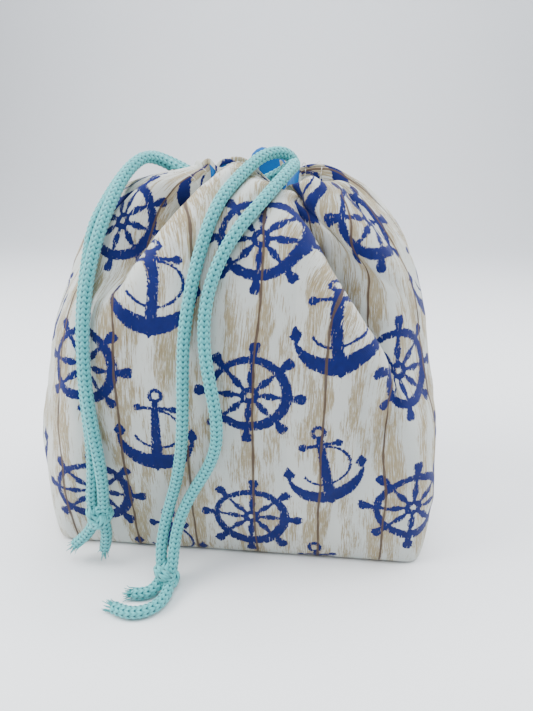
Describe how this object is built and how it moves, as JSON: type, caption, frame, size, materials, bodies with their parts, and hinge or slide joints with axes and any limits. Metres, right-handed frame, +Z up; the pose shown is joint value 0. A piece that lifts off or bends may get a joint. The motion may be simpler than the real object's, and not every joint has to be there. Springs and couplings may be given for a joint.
{
  "type": "knitting bag",
  "caption": "Soft drawstring project bag with a boxed base, a cloth casing drawn closed at the top, a lining and knotted cord ends hanging at the front.",
  "frame": {"origin": "middle of the boxed base, on the surface that the bag stands on", "axes": "+Z up; the front, where the cord ends hang, faces -Y; +X is to the right of someone who looks at the front"},
  "size_m": [0.218, 0.1758, 0.2122],
  "materials": {
    "printed_cotton": "plain-woven printed cotton: white-washed planks with navy ship's wheels and anchors",
    "lining_cotton": "plain bright blue woven cotton",
    "cotton_fleece": "needled cotton fleece",
    "knitted_cord": "round knitted polyester cord, pale aqua",
    "sewing_thread": "spun polyester sewing thread, off-white"
  },
  "bodies": {
    "bag": {"outer_front_panel": "printed_cotton", "outer_back_panel": "printed_cotton", "front_fleece": "cotton_fleece", "back_fleece": "cotton_fleece", "front_lining": "lining_cotton", "back_lining": "lining_cotton", "left_side_seam": "sewing_thread", "right_side_seam": "sewing_thread", "base_seam": "sewing_thread", "left_boxing_seam": "sewing_thread", "right_boxing_seam": "sewing_thread", "lining_closing_seam": "sewing_thread", "front_casing": "printed_cotton", "front_casing_stitching": "sewing_thread", "front_top_stitching": "sewing_thread", "left_cord_front_run": "knitted_cord", "right_cord_front_run": "knitted_cord", "left_cord_crossing": "knitted_cord", "right_cord_crossing": "knitted_cord", "left_front_strand": "knitted_cord", "left_back_strand": "knitted_cord", "right_front_strand": "knitted_cord", "right_back_strand": "knitted_cord"},
    "back_lip": {"back_casing": "printed_cotton", "back_casing_stitching": "sewing_thread", "back_top_stitching": "sewing_thread", "left_cord_back_run": "knitted_cord", "right_cord_back_run": "knitted_cord"},
    "left_cord_end": {"left_knot": "knitted_cord", "left_front_tail": "knitted_cord", "left_back_tail": "knitted_cord"},
    "right_cord_end": {"right_knot": "knitted_cord", "right_front_tail": "knitted_cord", "right_back_tail": "knitted_cord"}
  },
  "joints": [
    {"name": "mouth_open", "type": "slide", "parent": "bag", "child": "back_lip", "axis": [0, 1, 0], "range_m": [0, 0.025], "deforming": ["left_cord_crossing", "right_cord_crossing"]},
    {"name": "left_cord_feed", "type": "slide", "parent": "bag", "child": "left_cord_end", "axis": [0, 0, 1], "range_m": [0, 0.025], "deforming": ["left_front_strand", "left_back_strand"]},
    {"name": "right_cord_feed", "type": "slide", "parent": "bag", "child": "right_cord_end", "axis": [0, 0, 1], "range_m": [0, 0.025], "deforming": ["right_front_strand", "right_back_strand"]}
  ],
  "couplings": [
    {"joint": "left_cord_feed", "follows": "mouth_open", "ratio": 1},
    {"joint": "right_cord_feed", "follows": "mouth_open", "ratio": 1}
  ]
}
